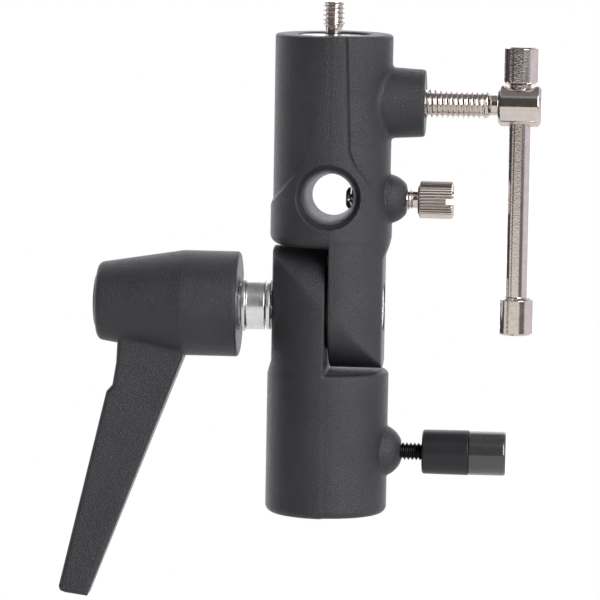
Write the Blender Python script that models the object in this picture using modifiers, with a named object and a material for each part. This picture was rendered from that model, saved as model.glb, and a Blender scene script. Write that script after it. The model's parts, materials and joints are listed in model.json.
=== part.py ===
"""Umbrella swivel bracket: a two-part tilting body with a stand socket, a reversible spigot, an umbrella hole,
a ratchet clamping lever and three locking screws.

Metres, +Z up. The origin is the centre of the stand socket's mouth. +X points to the T-handle screw, and the
front, where the umbrella hole opens, faces -Y. Round pieces that lie along X are turned about their own Z, which
is then rotated onto X, so a station along a profile is that point's world X.
"""

import math

import bmesh
import bpy
from mathutils import Matrix, Vector

OBJECT_NAME = "umbrella_swivel_bracket"

# Driving heights: the three screws, the swivel and the two ends of the body.
SWIVEL_Z = 0.0563
STAND_LOCK_Z = 0.01695
UMBRELLA_Z = 0.08615
T_SCREW_Z = 0.1124
BODY_TOP_Z = 0.1307
SPLIT_LOW_X = -0.0003
SPLIT_HIGH_X = 0.0005

# Body shells
LOWER_R = 0.0165
UPPER_SKIRT_R = 0.01665
UPPER_WAIST_R = 0.0161
UPPER_TOP_R = 0.01635
TONGUE_R = 0.0163
FLOOR_Z = 0.0392
CEILING_Z = 0.0734
LEFT_FLAT_X = -0.01555
RIGHT_FLAT_X = 0.01535
FLAT_HALF_HEIGHT = 0.0139
FLAT_RAMP = 0.0035
ROOF_PEAK_Z = 0.0996
ROOF_SLOPE = math.radians(46)

# Bores
SOCKET_R = 0.0081
SOCKET_TOP_Z = 0.035
SPIGOT_BORE_R = 0.0082
SPIGOT_BORE_FLOOR_Z = 0.0968
MOUTH_R = 0.0097
MOUTH_FLOOR_Z = 0.1287
UMBRELLA_R = 0.00575
PIVOT_BORE_R = 0.00415
BOLT_RECESS_R = 0.0063
BOLT_RECESS_X = 0.0093
FRICTION_RECESS_R = 0.0113
FRICTION_RECESS = 0.001

# Threads, as plain cylinders at their major radius
PIVOT_R = 0.0039
T_THREAD_R = 0.00397
UMBRELLA_THREAD_R = 0.00295
STAND_THREAD_R = 0.00242
STUD_R = 0.003175
LOWER_STUD_R = 0.00476
THREAD_GAP = 0.00018
GAP = 0.0003

# Lever hub and clamp nut
HUB_FACE_X = -0.0241
HUB_R = 0.0144
HUB_CONE_X = -0.0401
HUB_END_X = -0.0636
HUB_END_R = 0.0109
SPLINE_TEETH = 24
SPLINE_END_X = -0.03
WEB_RIGHT_X = -0.036
WEB_LEFT_X = -0.0385
CHAMBER_R = 0.0052
CAP_SEAT_X = -0.059
CAP_SEAT_R = 0.0082

# T handle
T_HEAD_X = 0.045
T_HEAD_END_X = 0.0569
T_HEAD_R = 0.00585
T_BAR_X = 0.0512
T_BAR_R = 0.0031
T_CAP_R = 0.0047
T_CAP_TOP_Z = 0.1284
T_CAP_BOTTOM_Z = 0.0499
T_CAP_LENGTH = 0.0093

ROUND_STEPS = 48
SMALL_STEPS = 24

BLACK_COAT = ("black_powder_coat", (0.030, 0.030, 0.034), 0.55, 0.0)
NICKEL = ("nickel_plate", (0.62, 0.58, 0.54), 0.22, 1.0)
STEEL = ("bright_steel", (0.60, 0.60, 0.60), 0.28, 1.0)
BRASS = ("brass", (0.60, 0.43, 0.18), 0.35, 1.0)
BLACK_PLASTIC = ("black_plastic", (0.025, 0.025, 0.028), 0.42, 0.0)
GREY_CAP = ("charcoal_rubber", (0.060, 0.060, 0.065), 0.50, 0.0)
FIBRE = ("friction_fibre", (0.10, 0.09, 0.08), 0.90, 0.0)


def clear_scene():
    for old in list(bpy.data.objects):
        bpy.data.objects.remove(old, do_unlink=True)


def collection(name):
    made = bpy.data.collections.new(name)
    bpy.context.scene.collection.children.link(made)
    return made


def material(finish):
    name, color, roughness, metallic = finish
    made = bpy.data.materials.get(name)
    if made:
        return made
    made = bpy.data.materials.new(name)
    made.use_nodes = True
    shader = made.node_tree.nodes["Principled BSDF"]
    shader.inputs["Base Color"].default_value = (*color, 1.0)
    shader.inputs["Roughness"].default_value = roughness
    shader.inputs["Metallic"].default_value = metallic
    return made


def place(name, mesh, axis="Z", at=(0.0, 0.0, 0.0), finish=None):
    """An object whose local Z lies along the given world axis. With no finish it is a hidden cutter."""
    obj = bpy.data.objects.new(name, mesh)
    obj.location = at
    if axis == "X":
        obj.rotation_euler = (0.0, math.pi / 2, 0.0)
    elif axis == "Y":
        obj.rotation_euler = (-math.pi / 2, 0.0, 0.0)
    if finish is None:
        obj.hide_render = True
        obj.display_type = "WIRE"
        cutters.objects.link(obj)
    else:
        mesh.materials.append(material(finish))
        parts.objects.link(obj)
    return obj


def turned(name, profile, axis="Z", at=(0.0, 0.0, 0.0), finish=None, steps=SMALL_STEPS, ring=False):
    """A Screw about the axis of (station, radius) points, listed down the outer side. A ring closes its profile."""
    mesh = bpy.data.meshes.new(name)
    points = [(radius, 0.0, station) for station, radius in profile]
    edges = [(i, i + 1) for i in range(len(points) - 1)]
    if ring:
        edges.append((len(points) - 1, 0))
    mesh.from_pydata(points, edges, [])
    obj = place(name, mesh, axis, at, finish)
    screw = obj.modifiers.new("turn", "SCREW")
    screw.axis = "Z"
    screw.angle = 2 * math.pi
    screw.steps = steps
    screw.render_steps = steps
    screw.use_merge_vertices = True
    screw.merge_threshold = 1e-6
    screw.use_smooth_shade = True
    return obj


def arc(center_station, center_radius, size, start, end, count=6):
    """Profile points round a corner: angle 0 points outwards and 90 points to higher stations."""
    angles = [math.radians(start + (end - start) * i / count) for i in range(count + 1)]
    return [(center_station + size * math.sin(a), center_radius + size * math.cos(a)) for a in angles]


def rod(name, radius, start, end, axis="Z", at=(0.0, 0.0, 0.0), finish=None, steps=SMALL_STEPS):
    return turned(name, [(end, 0.0), (end, radius), (start, radius), (start, 0.0)], axis, at, finish, steps)


def block(name, low, high):
    mesh = bpy.data.meshes.new(name)
    shape = bmesh.new()
    bmesh.ops.create_cube(shape, size=1.0)
    size = Vector(high) - Vector(low)
    middle = (Vector(high) + Vector(low)) / 2
    bmesh.ops.transform(shape, matrix=Matrix.Translation(middle) @ Matrix.Diagonal((*size, 1.0)), verts=shape.verts)
    shape.to_mesh(mesh)
    shape.free()
    return place(name, mesh)


def outline_mesh(name, points, half_depth):
    """A flat outline in its own XY plane, thickened along its Z: a filled curve made into a welded mesh."""
    curve = bpy.data.curves.new(name, "CURVE")
    curve.dimensions = "2D"
    curve.fill_mode = "BOTH"
    curve.extrude = half_depth
    spline = curve.splines.new("POLY")
    spline.points.add(len(points) - 1)
    for point, (x, y) in zip(spline.points, points):
        point.co = (x, y, 0.0, 1.0)
    spline.use_cyclic_u = True
    holder = bpy.data.objects.new(name + "_outline", curve)
    bpy.context.scene.collection.objects.link(holder)
    bpy.context.view_layer.update()
    mesh = bpy.data.meshes.new_from_object(holder.evaluated_get(bpy.context.evaluated_depsgraph_get()))
    bpy.data.objects.remove(holder, do_unlink=True)
    shape = bmesh.new()
    shape.from_mesh(mesh)
    bmesh.ops.remove_doubles(shape, verts=shape.verts, dist=1e-6)
    bmesh.ops.recalc_face_normals(shape, faces=shape.faces)
    shape.to_mesh(mesh)
    shape.free()
    mesh.name = name
    return mesh


def side_prism(name, outline, half_width):
    """An outline in X and Z, thickened both ways along Y."""
    mesh = outline_mesh(name, outline, half_width)
    mesh.transform(Matrix.Rotation(math.pi / 2, 4, "X"))
    return place(name, mesh)


def star_prism(name, tip_r, root_r, start, end):
    """A splined bar along X at the swivel's height."""
    count = 2 * SPLINE_TEETH
    radii = [tip_r if i % 2 == 0 else root_r for i in range(count)]
    points = [
        (r * math.cos(2 * math.pi * i / count), r * math.sin(2 * math.pi * i / count))
        for i, r in enumerate(radii)
    ]
    mesh = outline_mesh(name, points, abs(end - start) / 2)
    mesh.transform(Matrix.Translation((0.0, 0.0, (start + end) / 2)))
    return place(name, mesh, "X", (0.0, 0.0, SWIVEL_Z))


def boolean(obj, other, operation):
    """The two body shells take the manifold solver: the exact one leaves open slivers where their bores cross."""
    step = obj.modifiers.new(other.name, "BOOLEAN")
    step.operation = operation
    step.solver = "MANIFOLD" if obj.name in ("lower_body", "upper_body") else "EXACT"
    step.object = other


def cut(obj, *others):
    for other in others:
        boolean(obj, other, "DIFFERENCE")


def join(obj, *others):
    for other in others:
        boolean(obj, other, "UNION")


def tongue_mask(name, side, upwards):
    """What lies outside the rounded end of a tongue, on one side of the split and beyond the swivel axis."""
    reach = 0.03
    low_x, high_x = (0.0, reach) if side > 0 else (-reach, 0.0)
    low_z, high_z = (SWIVEL_Z, SWIVEL_Z + reach) if upwards else (SWIVEL_Z - reach, SWIVEL_Z)
    mask = block(name, (low_x, -reach, low_z), (high_x, reach, high_z))
    cut(mask, rod(name + "_round", TONGUE_R, -0.04, 0.04, "X", (0, 0, SWIVEL_Z), steps=ROUND_STEPS))
    return mask


def half_notch(name, profile, split_x, side):
    """A turned void kept only on one side of the split, so that its rim rounds the edge that it leaves."""
    notch = turned(name, profile, steps=ROUND_STEPS)
    if side > 0:
        keep = block(name + "_half", (split_x, -0.05, -0.02), (0.05, 0.05, 0.16))
    else:
        keep = block(name + "_half", (-0.05, -0.05, -0.02), (split_x, 0.05, 0.16))
    boolean(notch, keep, "INTERSECT")
    return notch


def ball_boss(name, center_x, radius, z, end_x):
    """A ball that swells out of the body round a screw hole, with a flat end."""
    start = math.degrees(math.asin((end_x - center_x) / radius))
    ball = arc(center_x, 0.0, radius, start, -90, 16)
    return turned(name, [(end_x, 0.0), *ball[:-1], (center_x - radius, 0.0)], "X", (0, 0, z))


def make_lower_body():
    edge = 0.0012
    body = turned(
        "lower_body",
        [
            (SWIVEL_Z + TONGUE_R, 0.0),
            (SWIVEL_Z + TONGUE_R, LOWER_R),
            *arc(edge, LOWER_R - edge, edge, 0, -90, 4),
            (0.0, 0.0),
        ],
        finish=BLACK_COAT,
        steps=ROUND_STEPS,
    )
    join(body, ball_boss("stand_boss", 0.0129, 0.0083, STAND_LOCK_Z, 0.0203))
    rim = 0.0023
    rim_round = arc(FLOOR_Z - rim, LOWER_R + 1e-5 - rim, rim, 0, 90, 5)
    notch = [(0.09, 0.0), (0.09, 0.02), (FLOOR_Z - rim, 0.02), *rim_round, (FLOOR_Z, 0.0)]
    cut(
        body,
        half_notch("lower_notch", notch, SPLIT_LOW_X, 1),
        tongue_mask("lower_tongue_mask", -1, True),
        block("left_flat", (-0.03, -0.03, 0.0402), (LEFT_FLAT_X, 0.03, 0.09)),
        rod("stand_socket", SOCKET_R, -0.01, SOCKET_TOP_Z, steps=ROUND_STEPS),
        turned(
            "socket_mouth",
            [(0.0008, 0.0), (0.0008, SOCKET_R - 1e-4), (-0.0004, SOCKET_R + 0.0011), (-0.0004, 0.0)],
            steps=ROUND_STEPS,
        ),
        rod("stand_lock_bore", STAND_THREAD_R + THREAD_GAP, 0.004, 0.03, "X", (0, 0, STAND_LOCK_Z)),
        rod("lower_pivot_bore", PIVOT_BORE_R, -0.03, 0.01, "X", (0, 0, SWIVEL_Z)),
        rod(
            "lower_friction_recess",
            FRICTION_RECESS_R,
            SPLIT_LOW_X - FRICTION_RECESS,
            0.01,
            "X",
            (0, 0, SWIVEL_Z),
        ),
    )


def umbrella_cutter():
    """The through hole for an umbrella shaft: straight in the middle, flared in two steps at each face."""
    near = 0.0205
    half = [(near, 0.0107), (0.0165, 0.00865), (0.0135, 0.0065), (0.0086, UMBRELLA_R)]
    mirrored = [(-station, radius) for station, radius in reversed(half)]
    profile = [(near, 0.0), *half, *mirrored, (-near, 0.0)]
    return turned("umbrella_hole", profile, "Y", (0, 0, UMBRELLA_Z), steps=ROUND_STEPS)


def skirt_roof():
    """What lies above the gable line where the thicker skirt of the upper body ends."""
    rise = math.tan(ROOF_SLOPE)
    side = 0.03
    outline = [(-side, ROOF_PEAK_Z - side * rise), (0.0, ROOF_PEAK_Z), (side, ROOF_PEAK_Z - side * rise)]
    return side_prism("skirt_roof", [*outline, (side, 0.14), (-side, 0.14)], 0.03)


def make_upper_body():
    bottom = SWIVEL_Z - TONGUE_R - 0.002
    body = turned(
        "upper_body",
        [(0.11, 0.0), (0.11, UPPER_SKIRT_R), (bottom, UPPER_SKIRT_R), (bottom, 0.0)],
        finish=BLACK_COAT,
        steps=ROUND_STEPS,
    )
    cut(body, skirt_roof())
    edge = 0.0009
    barrel = turned(
        "upper_barrel",
        [
            (BODY_TOP_Z, 0.0),
            *arc(BODY_TOP_Z - edge, UPPER_TOP_R - edge, edge, 90, 0, 4),
            (0.098, UPPER_WAIST_R),
            (0.062, UPPER_WAIST_R),
            (0.062, 0.0),
        ],
        steps=ROUND_STEPS,
    )
    round_end = 0.0008
    big_boss = turned(
        "t_screw_boss",
        [
            (0.0255, 0.0),
            *arc(0.0255 - round_end, 0.0091 - round_end, round_end, 90, 0, 4),
            (0.0145, 0.00975),
            (0.004, 0.0098),
            (0.004, 0.0),
        ],
        "X",
        (0, 0, T_SCREW_Z),
    )
    join(body, barrel, big_boss, ball_boss("umbrella_boss", 0.0137, 0.00735, UMBRELLA_Z, 0.0203))
    low, lift, inset = CEILING_Z, 0.0033, 0.0025
    rim = UPPER_SKIRT_R + 1e-5
    lip = [
        (low + lift * (1 - math.sin(math.radians(a))), rim - inset * (1 - math.cos(math.radians(a))))
        for a in range(0, 91, 15)
    ]
    notch = [(low, 0.0), *reversed(lip), (low + lift, 0.02), (0.02, 0.02), (0.02, 0.0)]
    flat = [
        (RIGHT_FLAT_X, 0.03),
        (RIGHT_FLAT_X, SWIVEL_Z + FLAT_HALF_HEIGHT),
        (RIGHT_FLAT_X + 0.0014, SWIVEL_Z + FLAT_HALF_HEIGHT + FLAT_RAMP),
        (0.03, SWIVEL_Z + FLAT_HALF_HEIGHT + FLAT_RAMP),
        (0.03, 0.03),
    ]
    cut(
        body,
        half_notch("upper_notch", notch, SPLIT_HIGH_X, -1),
        tongue_mask("upper_tongue_mask", 1, False),
        side_prism("right_flat", flat, 0.03),
        rod("spigot_bore", SPIGOT_BORE_R, SPIGOT_BORE_FLOOR_Z, 0.14, steps=ROUND_STEPS),
        rod("spigot_mouth", MOUTH_R, MOUTH_FLOOR_Z, 0.15, steps=ROUND_STEPS),
        rod("t_screw_bore", T_THREAD_R + THREAD_GAP, 0.004, 0.03, "X", (0, 0, T_SCREW_Z)),
        umbrella_cutter(),
        rod("umbrella_lock_bore", UMBRELLA_THREAD_R + THREAD_GAP, 0.003, 0.03, "X", (0, 0, UMBRELLA_Z)),
        rod("upper_pivot_bore", PIVOT_BORE_R, -0.01, 0.03, "X", (0, 0, SWIVEL_Z)),
        rod("bolt_recess", BOLT_RECESS_R, BOLT_RECESS_X, 0.03, "X", (0, 0, SWIVEL_Z)),
        rod(
            "upper_friction_recess",
            FRICTION_RECESS_R,
            -0.01,
            SPLIT_HIGH_X + FRICTION_RECESS,
            "X",
            (0, 0, SWIVEL_Z),
        ),
    )


def washer(name, start, end, inner, outer, finish):
    """A ring on the swivel's axis."""
    bevel = 0.0002
    profile = [
        (end, inner),
        (end, outer - bevel),
        (end - bevel, outer),
        (start + bevel, outer),
        (start, outer - bevel),
        (start, inner),
    ]
    return turned(name, profile, "X", (0.0, 0.0, SWIVEL_Z), finish, ring=True)


def hex_socket(name, across_flats, start, end, at):
    """A six-sided void along X, from its blind end to past the screw's face."""
    corner = across_flats / math.sqrt(3)
    points = [(corner * math.cos(math.radians(a)), corner * math.sin(math.radians(a))) for a in range(30, 390, 60)]
    mesh = outline_mesh(name, points, abs(end - start) / 2)
    mesh.transform(Matrix.Translation((0.0, 0.0, (start + end) / 2)))
    return place(name, mesh, "X", at)


def make_pivot():
    at = (0.0, 0.0, SWIVEL_Z)
    friction_start = SPLIT_LOW_X - FRICTION_RECESS + GAP
    friction_end = SPLIT_HIGH_X + FRICTION_RECESS - GAP
    washer("friction_disc", friction_start, friction_end, PIVOT_BORE_R + 2e-4, FRICTION_RECESS_R - GAP, FIBRE)
    washer("thrust_washer", -0.017, LEFT_FLAT_X - 0.00035, PIVOT_BORE_R, 0.0068, STEEL)
    washer("bolt_washer", BOLT_RECESS_X + GAP, BOLT_RECESS_X + 0.0013, PIVOT_BORE_R, BOLT_RECESS_R - GAP, STEEL)
    head_r, head_start, head_end, edge = 0.006, BOLT_RECESS_X + 0.0016, 0.0149, 0.0004
    bolt = turned(
        "pivot_bolt",
        [
            (head_end, 0.0),
            (head_end, head_r - edge),
            (head_end - edge, head_r),
            (head_start, head_r),
            (head_start, PIVOT_R),
            (-0.0307, PIVOT_R),
            (-0.0312, PIVOT_R - 0.0005),
            (-0.0312, 0.0),
        ],
        "X",
        at,
        STEEL,
    )
    cut(bolt, hex_socket("bolt_socket", 0.005, 0.0118, 0.017, at))


def make_clamp_nut():
    """The bright collar, whose splined tail carries the lever and whose thread takes the pivot bolt."""
    at = (0.0, 0.0, SWIVEL_Z)
    collar_r, flange_r, tail_r, neck_r, edge = 0.00685, 0.0074, 0.0057, 0.005, 0.0003
    start, flange_start, flange_end, neck_end = -0.01735, -0.0226, -0.0238, -0.0355
    nut = turned(
        "clamp_nut",
        [
            (start, 0.0),
            (start, collar_r - edge),
            (start - edge, collar_r),
            (flange_start, collar_r),
            (flange_start - edge, flange_r),
            (flange_end, flange_r),
            (flange_end, tail_r),
            (SPLINE_END_X, tail_r),
            (SPLINE_END_X, neck_r),
            (neck_end, neck_r),
            (neck_end, 0.0),
        ],
        "X",
        at,
        STEEL,
    )
    join(nut, star_prism("nut_spline", 0.00635, 0.00575, -0.025, SPLINE_END_X))
    cut(
        nut,
        rod("nut_thread", PIVOT_R + GAP, -0.0315, 0.0, "X", at),
        rod("nut_tail_thread", 0.0027, -0.04, -0.02, "X", at),
    )


def make_lever():
    """The tapered hub, bored for the nut, the spring and the end cap, with its long flat arm."""
    at = (0.0, 0.0, SWIVEL_Z)
    edge, end_round = 0.0008, 0.0016
    lever = turned(
        "lever_handle",
        [
            (HUB_FACE_X, 0.0),
            *arc(HUB_FACE_X - edge, HUB_R - edge, edge, 90, 0, 4),
            (HUB_CONE_X, HUB_R),
            *arc(HUB_END_X + end_round, HUB_END_R - end_round + 0.0002, end_round, 8, -90, 5),
            (HUB_END_X, 0.0),
        ],
        "X",
        at,
        BLACK_COAT,
        steps=ROUND_STEPS,
    )
    join(lever, lever_arm())
    cut(
        lever,
        turned(
            "hub_hollow",
            [
                (-0.02, 0.0),
                (-0.02, 0.00595),
                (SPLINE_END_X - 0.0002, 0.00595),
                (SPLINE_END_X - 0.0002, 0.0056),
                (WEB_RIGHT_X, 0.0056),
                (WEB_RIGHT_X, 0.00275),
                (WEB_LEFT_X, 0.00275),
                (WEB_LEFT_X, CHAMBER_R),
                (CAP_SEAT_X, CHAMBER_R),
                (CAP_SEAT_X, CAP_SEAT_R),
                (-0.07, CAP_SEAT_R),
                (-0.07, 0.0),
            ],
            "X",
            at,
        ),
        star_prism("hub_spline", 0.00655, 0.00595, -0.02, SPLINE_END_X - 0.0002),
    )


def lever_arm():
    """The arm hangs down and outwards. It is thick at the hub and thins towards its blunt tip."""
    outline = [
        (-0.0398, 0.0418),
        (-0.0651, -0.0253),
        (-0.0675, -0.0250),
        (-0.0713, -0.0245),
        (-0.0727, -0.0240),
        (-0.0732, -0.0229),
        (-0.0604, 0.0320),
        (-0.0590, 0.0337),
        (-0.0582, 0.0399),
        (-0.0574, 0.0480),
        (-0.0395, 0.0480),
    ]
    top_z, tip_z, top_half, tip_half = 0.048, -0.0253, 0.0072, 0.0045
    arm = side_prism("lever_arm", outline, top_half)
    for vertex in arm.data.vertices:
        share = (top_z - vertex.co.z) / (top_z - tip_z)
        vertex.co.y *= 1 + (tip_half / top_half - 1) * share
    bevel = arm.modifiers.new("edges", "BEVEL")
    bevel.width = 0.0012
    bevel.segments = 2
    bevel.limit_method = "ANGLE"
    bevel.angle_limit = math.radians(50)
    return arm


def make_lever_fittings():
    at = (0.0, 0.0, SWIVEL_Z)
    screw_head_x, head_end, head_r, shank_r = -0.0506, -0.054, 0.0043, 0.00245
    screw = turned(
        "lever_retaining_screw",
        [
            (-0.0318, 0.0),
            (-0.0318, shank_r - 0.0004),
            (-0.0322, shank_r),
            (screw_head_x, shank_r),
            (screw_head_x, head_r),
            (head_end + 0.0004, head_r),
            (head_end, head_r - 0.0004),
            (head_end, 0.0),
        ],
        "X",
        at,
        STEEL,
    )
    cut(screw, hex_socket("retaining_socket", 0.0035, -0.056, -0.052, at))
    seat_round = 0.0011
    turned(
        "lever_end_cap",
        [
            (CAP_SEAT_X - GAP, 0.0),
            (CAP_SEAT_X - GAP, CAP_SEAT_R - GAP),
            (HUB_END_X, CAP_SEAT_R - GAP),
            (HUB_END_X - seat_round * 0.55, CAP_SEAT_R - 0.0012),
            (HUB_END_X - seat_round * 0.85, CAP_SEAT_R - 0.0035),
            (HUB_END_X - seat_round, 0.0),
        ],
        "X",
        at,
        BLACK_PLASTIC,
    )
    make_lever_spring(WEB_LEFT_X - GAP, screw_head_x + GAP)


def make_lever_spring(right_x, left_x):
    """A round-wire coil between the hub's web and the retaining screw's head."""
    wire_r, coil_r, turns, per_turn = 0.00045, 0.0036, 6, 16
    first, last = right_x - wire_r, left_x + wire_r
    count = turns * per_turn + 1
    curve = bpy.data.curves.new("lever_spring", "CURVE")
    curve.dimensions = "3D"
    curve.bevel_depth = wire_r
    curve.bevel_resolution = 2
    curve.use_fill_caps = True
    spline = curve.splines.new("POLY")
    spline.points.add(count - 1)
    for i, point in enumerate(spline.points):
        angle = 2 * math.pi * i / per_turn
        x = first + (last - first) * i / (count - 1)
        point.co = (x, coil_r * math.cos(angle), coil_r * math.sin(angle), 1.0)
    curve.materials.append(material(STEEL))
    spring = bpy.data.objects.new("lever_spring", curve)
    spring.location = (0.0, 0.0, SWIVEL_Z)
    parts.objects.link(spring)


def make_spigot():
    """The reversible stud: a small thread on top, a waisted barrel, and a larger thread underneath."""
    shift = -0.0002  # the T-handle screw pushes it against the far wall
    barrel_r, flange_r, waist_r, neck_r, edge = 0.00794, 0.00925, 0.007, 0.0024, 0.0005
    flange_top, flange_low, barrel_low = 0.13035, 0.129, 0.1065
    stud_top, stud_low, lower_end = 0.1395, 0.1332, 0.0973
    waist_high, waist_low = T_SCREW_Z + 0.0036, T_SCREW_Z - 0.0036
    turned(
        "spigot",
        [
            (stud_top, 0.0),
            (stud_top, STUD_R - edge),
            (stud_top - edge, STUD_R),
            (stud_low, STUD_R),
            (stud_low - edge, neck_r),
            (flange_top, neck_r),
            (flange_top, flange_r - 0.0002),
            (flange_top - 0.0002, flange_r),
            (flange_low, flange_r),
            (flange_low, barrel_r),
            (waist_high + 0.0008, barrel_r),
            (waist_high, waist_r),
            (waist_low, waist_r),
            (waist_low - 0.0008, barrel_r),
            (barrel_low + edge, barrel_r),
            (barrel_low, barrel_r - edge),
            (barrel_low, 0.0039),
            (barrel_low - 0.0015, 0.0039),
            (barrel_low - 0.002, LOWER_STUD_R),
            (lower_end + edge, LOWER_STUD_R),
            (lower_end, LOWER_STUD_R - edge),
            (lower_end, 0.0),
        ],
        at=(shift, 0.0, 0.0),
        finish=NICKEL,
    )


def foot(name, face, seat, radius, stem_end, stem_r, z, finish):
    """A screw's swivel foot: a round pad, with a stem that the screw turns on."""
    edge = 0.0003
    turned(
        name,
        [
            (stem_end, 0.0),
            (stem_end, stem_r),
            (seat, stem_r),
            (seat, radius),
            (face + edge, radius),
            (face, radius - edge),
            (face, 0.0),
        ],
        "X",
        (0, 0, z),
        finish,
    )


def foot_hole(name, seat, stem_end, stem_r, z):
    return rod(name, stem_r + THREAD_GAP, seat - 0.005, stem_end + GAP, "X", (0, 0, z))


def make_t_screw():
    seat, stem_end, stem_r = 0.009, 0.0128, 0.0015
    foot("t_screw_pad", 0.0073, seat, 0.003, stem_end, stem_r, T_SCREW_Z, BRASS)
    edge = 0.0008
    screw = turned(
        "t_screw",
        [
            (T_HEAD_END_X, 0.0),
            (T_HEAD_END_X, T_HEAD_R - edge),
            (T_HEAD_END_X - edge, T_HEAD_R),
            (T_HEAD_X + edge, T_HEAD_R),
            (T_HEAD_X, T_HEAD_R - edge),
            (T_HEAD_X, 0.0029),
            (0.043, 0.0029),
            (0.0425, T_THREAD_R),
            (seat + GAP + edge, T_THREAD_R),
            (seat + GAP, T_THREAD_R - edge),
            (seat + GAP, 0.0),
        ],
        "X",
        (0, 0, T_SCREW_Z),
        NICKEL,
    )
    hole_r, dish_r = 0.0034, 0.0048
    far, dish = 0.008, 0.0042
    cut(
        screw,
        foot_hole("t_pad_hole", seat, stem_end, stem_r, T_SCREW_Z),
        turned(
            "t_bar_hole",
            [
                (far, 0.0),
                (far, dish_r + 0.0026),
                (dish, hole_r),
                (-dish, hole_r),
                (-far, dish_r + 0.0026),
                (-far, 0.0),
            ],
            at=(T_BAR_X, 0.0, T_SCREW_Z),
        ),
    )


def make_t_bar():
    """The sliding bar of the T handle, with a turned cap on each end to keep it in the screw's head."""
    inside, hole_r, edge = 0.0064, T_BAR_R + 0.00015, 0.0005
    top_seat = T_CAP_TOP_Z - T_CAP_LENGTH
    bottom_seat = T_CAP_BOTTOM_Z + T_CAP_LENGTH
    rod("t_bar", T_BAR_R, bottom_seat - inside, top_seat + inside, at=(T_BAR_X, 0.0, 0.0), finish=NICKEL)

    def cap(name, seat, tip):
        """Stations run from the open end, where the bar enters, to the outer end."""
        way = 1 if tip > seat else -1
        blind_end = seat + way * (inside + GAP)
        profile = [
            (blind_end, 0.0),
            (blind_end, hole_r),
            (seat, hole_r),
            (seat, T_CAP_R - 2 * edge),
            (seat + way * edge, T_CAP_R),
            (tip - way * edge, T_CAP_R),
            (tip, T_CAP_R - edge),
            (tip, 0.0),
        ]
        if way > 0:
            profile.reverse()
        turned(name, profile, at=(T_BAR_X, 0.0, 0.0), finish=NICKEL)

    cap("t_bar_cap_top", top_seat, T_CAP_TOP_Z)
    cap("t_bar_cap_bottom", bottom_seat, T_CAP_BOTTOM_Z)


def make_umbrella_lock():
    seat, stem_end, stem_r = 0.0053, 0.0078, 0.0011
    foot("umbrella_lock_tip", 0.0041, seat, 0.0023, stem_end, stem_r, UMBRELLA_Z, NICKEL)
    edge, neck_r, head_r, head_x, head_end = 0.0005, 0.0024, 0.0051, 0.0237, 0.0336
    screw = turned(
        "umbrella_lock_screw",
        [
            (head_end, 0.0),
            (head_end, head_r - edge),
            (head_end - edge, head_r),
            (head_x + edge, head_r),
            (head_x, head_r - edge),
            (head_x, neck_r),
            (0.0227, neck_r),
            (0.0223, UMBRELLA_THREAD_R),
            (seat + GAP + edge, UMBRELLA_THREAD_R),
            (seat + GAP, UMBRELLA_THREAD_R - edge),
            (seat + GAP, 0.0),
        ],
        "X",
        (0, 0, UMBRELLA_Z),
        NICKEL,
    )
    slot_half, slot_depth = 0.0008, 0.0021
    cut(
        screw,
        foot_hole("umbrella_tip_hole", seat, stem_end, stem_r, UMBRELLA_Z),
        block(
            "umbrella_slot",
            (head_end - slot_depth, -0.01, UMBRELLA_Z - slot_half),
            (head_end + 0.002, 0.01, UMBRELLA_Z + slot_half),
        ),
    )


def make_stand_lock():
    at = (0.0, 0.0, STAND_LOCK_Z)
    seat, stem_end, stem_r = 0.0098, 0.0122, 0.001
    foot("stand_lock_pad", 0.0086, seat, 0.0021, stem_end, stem_r, STAND_LOCK_Z, BRASS)
    edge, screw_end = 0.0004, 0.037
    screw = turned(
        "stand_lock_screw",
        [
            (screw_end, 0.0),
            (screw_end, STAND_THREAD_R - edge),
            (screw_end - edge, STAND_THREAD_R),
            (seat + GAP + edge, STAND_THREAD_R),
            (seat + GAP, STAND_THREAD_R - edge),
            (seat + GAP, 0.0),
        ],
        "X",
        at,
        STEEL,
    )
    cut(screw, foot_hole("stand_pad_hole", seat, stem_end, stem_r, STAND_LOCK_Z))
    grip_x, grip_end, stub_r, stub_end, bore_end, round_edge = 0.0262, 0.0388, 0.004, 0.0455, 0.0375, 0.0006
    bore_r = STAND_THREAD_R + THREAD_GAP
    turned(
        "stand_lock_grip",
        [
            (stub_end, 0.0),
            (stub_end, stub_r - edge),
            (stub_end - edge, stub_r),
            (grip_end, stub_r),
            (grip_end, 0.00615 - edge),
            (grip_end - edge, 0.00615),
            *arc(grip_x + round_edge, 0.00595 - round_edge, round_edge, 0, -90, 3),
            (grip_x, bore_r),
            (bore_end, bore_r),
            (bore_end, 0.0),
        ],
        "X",
        at,
        BLACK_PLASTIC,
    )
    cap_x, cap_end, cap_r, cap_round = grip_end + GAP, 0.0495, 0.00638, 0.001
    turned(
        "stand_lock_cap",
        [
            (cap_end, 0.0),
            *arc(cap_end - cap_round, cap_r - cap_round, cap_round, 90, 0, 4),
            (cap_x + edge, cap_r),
            (cap_x, cap_r - edge),
            (cap_x, stub_r + THREAD_GAP),
            (stub_end + GAP, stub_r + THREAD_GAP),
            (stub_end + GAP, 0.0),
        ],
        "X",
        at,
        GREY_CAP,
    )


clear_scene()
parts = collection(OBJECT_NAME)
cutters = collection("cutters")
make_lower_body()
make_upper_body()
make_pivot()
make_clamp_nut()
make_lever()
make_lever_fittings()
make_spigot()
make_t_screw()
make_t_bar()
make_umbrella_lock()
make_stand_lock()
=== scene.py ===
"""Looks for the umbrella swivel bracket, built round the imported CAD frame: cast bodies with fillets and
cast-in relief, real threads, knurls and turned fittings.

Shapes are worked out in millimetres in the frame's own axes, and become metres when a mesh is made. The
front is at -Y and the T handle at +X.
"""

import json
import math

import bpy
import numpy as np
from mathutils import Matrix, Vector


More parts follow.
